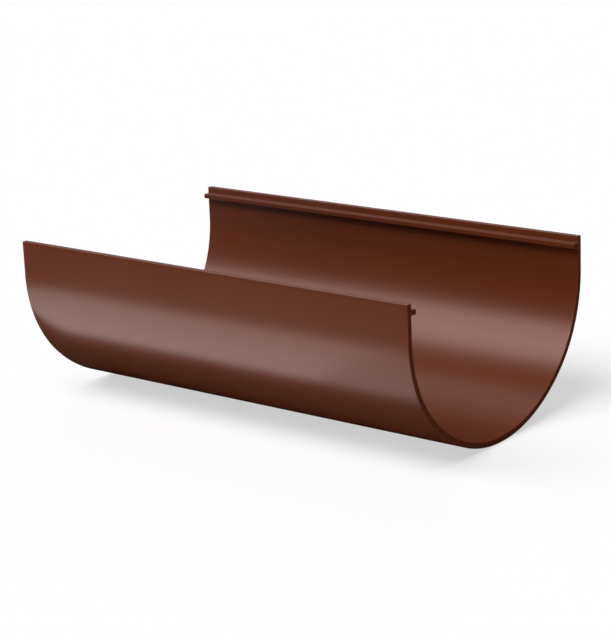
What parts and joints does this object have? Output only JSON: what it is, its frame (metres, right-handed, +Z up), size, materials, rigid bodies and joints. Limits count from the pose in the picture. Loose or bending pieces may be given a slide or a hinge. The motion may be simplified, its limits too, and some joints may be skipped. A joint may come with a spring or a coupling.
{
  "type": "gutter section",
  "caption": "Square-cut length of brown plastic rainwater gutter: deep half-round trough, open at the top and both ends, with a clip rib inside each wall.",
  "frame": {"origin": "middle of the length and of the width, on the lowest line of the trough's bottom", "axes": "+X along the length, square to the cut ends; +Y across to the wall on the right, seen from the +X end looking in; +Z up out of the open mouth"},
  "size_m": [0.202, 0.125, 0.0724],
  "materials": {
    "gutter_pvc": "smooth extruded PVC-U in dark brown with a soft semi-gloss sheen; ends saw cut square"
  },
  "bodies": {
    "root": {"gutter_channel": "gutter_pvc"}
  },
  "joints": []
}
